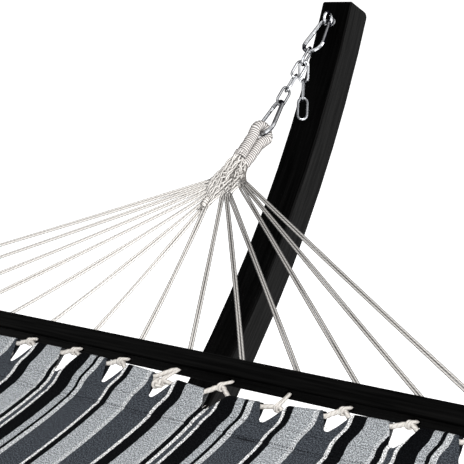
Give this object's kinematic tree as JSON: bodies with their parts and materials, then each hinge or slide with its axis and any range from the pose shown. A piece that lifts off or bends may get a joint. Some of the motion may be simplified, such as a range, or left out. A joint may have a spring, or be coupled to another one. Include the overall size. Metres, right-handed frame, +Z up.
{
  "type": "hammock on stand",
  "caption": "Striped spreader-bar hammock hung by chains and snap hooks in an arched black timber stand with two cross feet.",
  "frame": {"origin": "on the floor under the middle of the stand", "axes": "+X along the hammock, +Y across it, +Z up"},
  "size_m": [3.8542, 1.455, 1.3481],
  "materials": {
    "black_timber": "black stained and sealed softwood, faint grain, half matt",
    "zinc_steel": "bright zinc plating",
    "black_steel": "black powder coat",
    "rubber": "matt black rubber",
    "cotton_cord": "natural off-white twisted and braided cotton",
    "striped_cloth": "heavy woven cotton with lengthwise stripes in black, slate grey, light grey tweed and white"
  },
  "bodies": {
    "stand": {"arc_arm_left": "black_timber", "arc_arm_right": "black_timber", "arc_center": "black_timber", "brace_left_far": "black_timber", "brace_left_near": "black_timber", "brace_right_far": "black_timber", "brace_right_near": "black_timber", "cross_foot_left": "black_timber", "cross_foot_right": "black_timber", "eye_bolt_left": "zinc_steel", "eye_bolt_right": "zinc_steel", "eye_nut_left": "zinc_steel", "eye_nut_right": "zinc_steel", "foot_pad_left_far": "rubber", "foot_pad_left_near": "rubber", "foot_pad_right_far": "rubber", "foot_pad_right_near": "rubber", "foot_screw_left": "black_steel", "foot_screw_right": "black_steel", "splice_bolt_left_inner": "zinc_steel", "splice_bolt_left_outer": "zinc_steel", "splice_bolt_right_inner": "zinc_steel", "splice_bolt_right_outer": "zinc_steel", "splice_channel_left": "black_steel", "splice_channel_right": "black_steel", "splice_nut_left_inner": "zinc_steel", "splice_nut_left_outer": "zinc_steel", "splice_nut_right_inner": "zinc_steel", "splice_nut_right_outer": "zinc_steel"},
    "suspension": {"chain_link_1_left": "zinc_steel", "chain_link_1_right": "zinc_steel", "chain_link_2_left": "zinc_steel", "chain_link_2_right": "zinc_steel", "chain_link_3_left": "zinc_steel", "chain_link_3_right": "zinc_steel", "chain_link_4_left": "zinc_steel", "chain_link_4_right": "zinc_steel", "clew_left": "cotton_cord", "clew_right": "cotton_cord", "lower_hook_left": "zinc_steel", "lower_hook_right": "zinc_steel", "upper_hook_left": "zinc_steel", "upper_hook_right": "zinc_steel"},
    "bed": {"cloth_bed": "striped_cloth", "fan_cords_left": "cotton_cord", "fan_cords_right": "cotton_cord", "hem_rope_left": "cotton_cord", "hem_rope_right": "cotton_cord", "spreader_bar_left": "black_timber", "spreader_bar_right": "black_timber"},
    "tail_1_right": {"tail_link_1_right": "zinc_steel"},
    "tail_2_right": {"tail_link_2_right": "zinc_steel"},
    "tail_3_right": {"tail_link_3_right": "zinc_steel"},
    "upper_gate_right": {"upper_gate_right": "zinc_steel"},
    "lower_gate_right": {"lower_gate_right": "zinc_steel"},
    "tail_1_left": {"tail_link_1_left": "zinc_steel"},
    "tail_2_left": {"tail_link_2_left": "zinc_steel"},
    "tail_3_left": {"tail_link_3_left": "zinc_steel"},
    "upper_gate_left": {"upper_gate_left": "zinc_steel"},
    "lower_gate_left": {"lower_gate_left": "zinc_steel"}
  },
  "joints": [
    {"name": "hammock_swing", "type": "hinge", "parent": "stand", "child": "suspension", "pos_m": [0, 0, 1.30749], "axis": [1, 0, 0], "range_deg": [-20, 20]},
    {"name": "bed_roll", "type": "hinge", "parent": "suspension", "child": "bed", "pos_m": [0, 0, 1.061], "axis": [1, 0, 0], "range_deg": [-15, 15]},
    {"name": "tail_swing_1_right", "type": "hinge", "parent": "suspension", "child": "tail_1_right", "pos_m": [1.74183, 0.00277, 1.23414], "axis": [-0.7683, 0, -0.6401], "range_deg": [-14, 14]},
    {"name": "tail_swing_2_right", "type": "hinge", "parent": "tail_1_right", "child": "tail_2_right", "pos_m": [1.73863, 0.00277, 1.19758], "axis": [-0.1386, 0.9903, 0.0121], "range_deg": [0, 25]},
    {"name": "tail_swing_3_right", "type": "hinge", "parent": "tail_2_right", "child": "tail_3_right", "pos_m": [1.7348, 0.00277, 1.16108], "axis": [0.8781, 0.4695, -0.0923], "range_deg": [0, 25]},
    {"name": "upper_gate_open_right", "type": "hinge", "parent": "suspension", "child": "upper_gate_right", "pos_m": [1.80978, -0.01183, 1.30026], "axis": [0.6401, 0, -0.7683], "range_deg": [0, 15], "stiffness_Nm_per_rad": 0.02},
    {"name": "lower_gate_open_right", "type": "hinge", "parent": "suspension", "child": "lower_gate_right", "pos_m": [1.63782, 0.01153, 1.15553], "axis": [-0.6039, 0.225, 0.7647], "range_deg": [0, 15], "stiffness_Nm_per_rad": 0.02},
    {"name": "tail_swing_1_left", "type": "hinge", "parent": "suspension", "child": "tail_1_left", "pos_m": [-1.74183, 0.00277, 1.23414], "axis": [-0.7683, 0, 0.6401], "range_deg": [-14, 14]},
    {"name": "tail_swing_2_left", "type": "hinge", "parent": "tail_1_left", "child": "tail_2_left", "pos_m": [-1.73863, 0.00277, 1.19758], "axis": [-0.1386, -0.9903, -0.0121], "range_deg": [0, 25]},
    {"name": "tail_swing_3_left", "type": "hinge", "parent": "tail_2_left", "child": "tail_3_left", "pos_m": [-1.7348, 0.00277, 1.16108], "axis": [0.8781, -0.4695, 0.0923], "range_deg": [0, 25]},
    {"name": "upper_gate_open_left", "type": "hinge", "parent": "suspension", "child": "upper_gate_left", "pos_m": [-1.80978, -0.01183, 1.30026], "axis": [0.6401, 0, 0.7683], "range_deg": [0, 15], "stiffness_Nm_per_rad": 0.02},
    {"name": "lower_gate_open_left", "type": "hinge", "parent": "suspension", "child": "lower_gate_left", "pos_m": [-1.63782, 0.01153, 1.15553], "axis": [-0.6039, -0.225, -0.7647], "range_deg": [0, 15], "stiffness_Nm_per_rad": 0.02}
  ]
}
